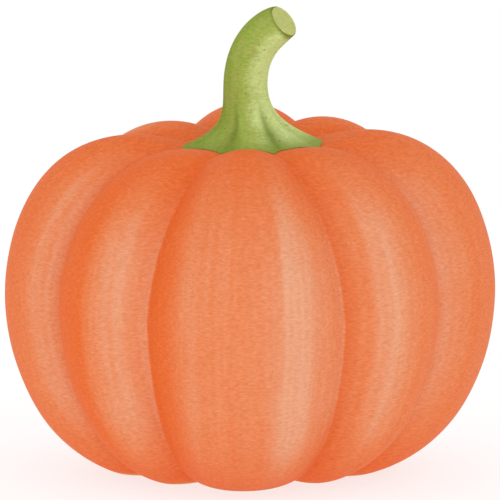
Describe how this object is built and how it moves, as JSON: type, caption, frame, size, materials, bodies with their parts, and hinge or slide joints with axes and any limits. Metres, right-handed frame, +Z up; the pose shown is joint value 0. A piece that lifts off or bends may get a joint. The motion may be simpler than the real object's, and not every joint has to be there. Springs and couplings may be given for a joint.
{
  "type": "pumpkin",
  "caption": "Whole ribbed orange field pumpkin standing on its flat spot, with its bent green stem and flared foot.",
  "frame": {"origin": "on the ground under the middle of the fruit, the centre of the bottom of its box", "axes": "+Z up from the ground to the stem; -Y towards the broadest lobe, the front; the stem bends to +X and a little to -Y"},
  "size_m": [0.2804, 0.2786, 0.2699],
  "materials": {
    "rind": "satin orange rind, paler on the crests and deeper orange in the grooves",
    "stem": "matt green fibrous stem, yellow green at the cut"
  },
  "bodies": {
    "root": {"fruit": "rind", "stem": "stem"}
  },
  "joints": []
}
